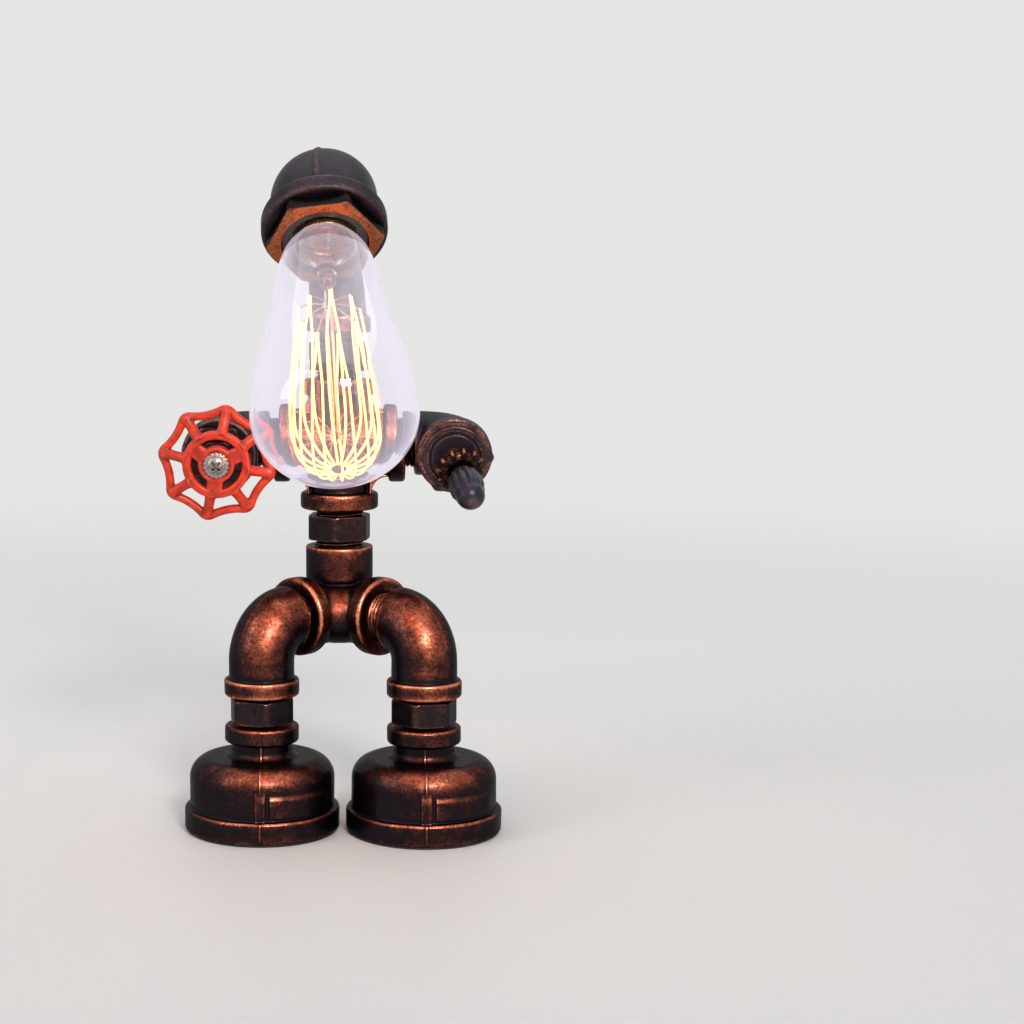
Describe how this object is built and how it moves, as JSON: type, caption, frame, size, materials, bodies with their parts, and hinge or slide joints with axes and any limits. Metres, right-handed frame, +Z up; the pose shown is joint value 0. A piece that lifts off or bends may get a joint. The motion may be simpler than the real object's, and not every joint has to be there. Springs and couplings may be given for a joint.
{
  "type": "desk lamp",
  "caption": "Robot-shaped desk lamp of bronze pipe fittings, its head a hooded socket with a lit bulb, a red handwheel for one hand and a switch lever for the other.",
  "frame": {"origin": "on the floor under the middle of the lamp's outline", "axes": "+Z up, -Y to the front where the bulb points, +X to the side of the switch arm"},
  "size_m": [0.1448, 0.1786, 0.289],
  "materials": {
    "bronze": "satin, worn to copper on the edges",
    "dark_bronze": "satin, darkened",
    "copper_bushing": "worn copper face, dark sides",
    "red_paint": "glossy red-orange paint",
    "pad_rubber": "matte",
    "steel": "bright plated",
    "stem_steel": "dulled",
    "nut_copper": "antique copper",
    "grip_blue_black": "satin blue-black, bronze at the tip",
    "black_insulator": "satin black",
    "brass": "satin",
    "cap_metal": "satin",
    "bulb_clear": "clear, gloss",
    "filament_glow": "lit warm white",
    "hook_wire": "thin wire",
    "black_plastic": "matte",
    "lead_black": "matte"
  },
  "bodies": {
    "base": {"left_foot_pad": "pad_rubber", "right_foot_pad": "pad_rubber", "left_foot": "bronze", "right_foot": "bronze", "lead_grommet": "pad_rubber", "left_ankle_nipple": "bronze", "right_ankle_nipple": "bronze", "left_leg_elbow": "bronze", "right_leg_elbow": "bronze", "pelvis": "bronze", "waist_nipple": "bronze", "cross": "bronze", "neck_nipple": "bronze", "torso_lead": "lead_black"},
    "neck": {"neck_elbow": "bronze", "head_nipple": "bronze", "neck_lead": "lead_black"},
    "head": {"head_casting": "dark_bronze", "mouth_bushing": "copper_bushing", "clamp_ring": "black_insulator", "lamp_holder": "black_insulator", "screw_shell": "brass", "centre_contact": "brass", "head_lead": "lead_black"},
    "bulb": {"bulb_glass": "bulb_clear", "bulb_cap": "cap_metal", "cap_insulator": "black_insulator", "cap_tip": "cap_metal", "glass_stem": "bulb_clear", "filament_hooks": "hook_wire", "filament": "filament_glow"},
    "valve_arm": {"valve_elbow": "bronze", "valve_bonnet": "dark_bronze", "packing_nut": "dark_bronze", "dimmer": "black_plastic", "valve_lead": "lead_black"},
    "wheel": {"wheel_stem": "stem_steel", "handwheel": "red_paint", "tooth_washer": "steel", "wheel_screw": "steel"},
    "switch_arm": {"switch_elbow": "bronze", "switch_plug": "dark_bronze", "switch_body": "black_plastic", "switch_lead": "lead_black"},
    "lever": {"switch_lever": "steel", "lever_rosette": "nut_copper", "lever_grip": "grip_blue_black"}
  },
  "joints": [
    {"name": "neck_swivel", "type": "hinge", "parent": "base", "child": "neck", "pos_m": [0.00318, 0.07228, 0.2337], "axis": [0, 0, 1], "range_deg": [-50, 70]},
    {"name": "head_turn", "type": "hinge", "parent": "neck", "child": "head", "pos_m": [-0.00412, 0.03085, 0.27577], "axis": [-0.1228, -0.6964, 0.7071], "range_deg": [-45, 25]},
    {"name": "bulb_unscrew", "type": "slide", "parent": "head", "child": "bulb", "axis": [0.0432, -0.7156, -0.6972], "range_m": [0, 0.045]},
    {"name": "valve_arm_swing", "type": "hinge", "parent": "base", "child": "valve_arm", "pos_m": [0.00318, 0.07228, 0.1631], "axis": [1, 0, 0], "range_deg": [-20, 25]},
    {"name": "handwheel_turn", "type": "hinge", "parent": "valve_arm", "child": "wheel", "pos_m": [-0.04782, 0.02685, 0.15913], "axis": [0, -0.9962, -0.0872], "range_deg": [0, 270]},
    {"name": "switch_arm_swing", "type": "hinge", "parent": "base", "child": "switch_arm", "pos_m": [0.00318, 0.07228, 0.1631], "axis": [1, 0, 0], "range_deg": [-20, 25]},
    {"name": "switch_throw", "type": "hinge", "parent": "switch_arm", "child": "lever", "pos_m": [0.05188, 0.03632, 0.15995], "axis": [0.9063, -0.0368, 0.421], "range_deg": [-56, 0]}
  ]
}
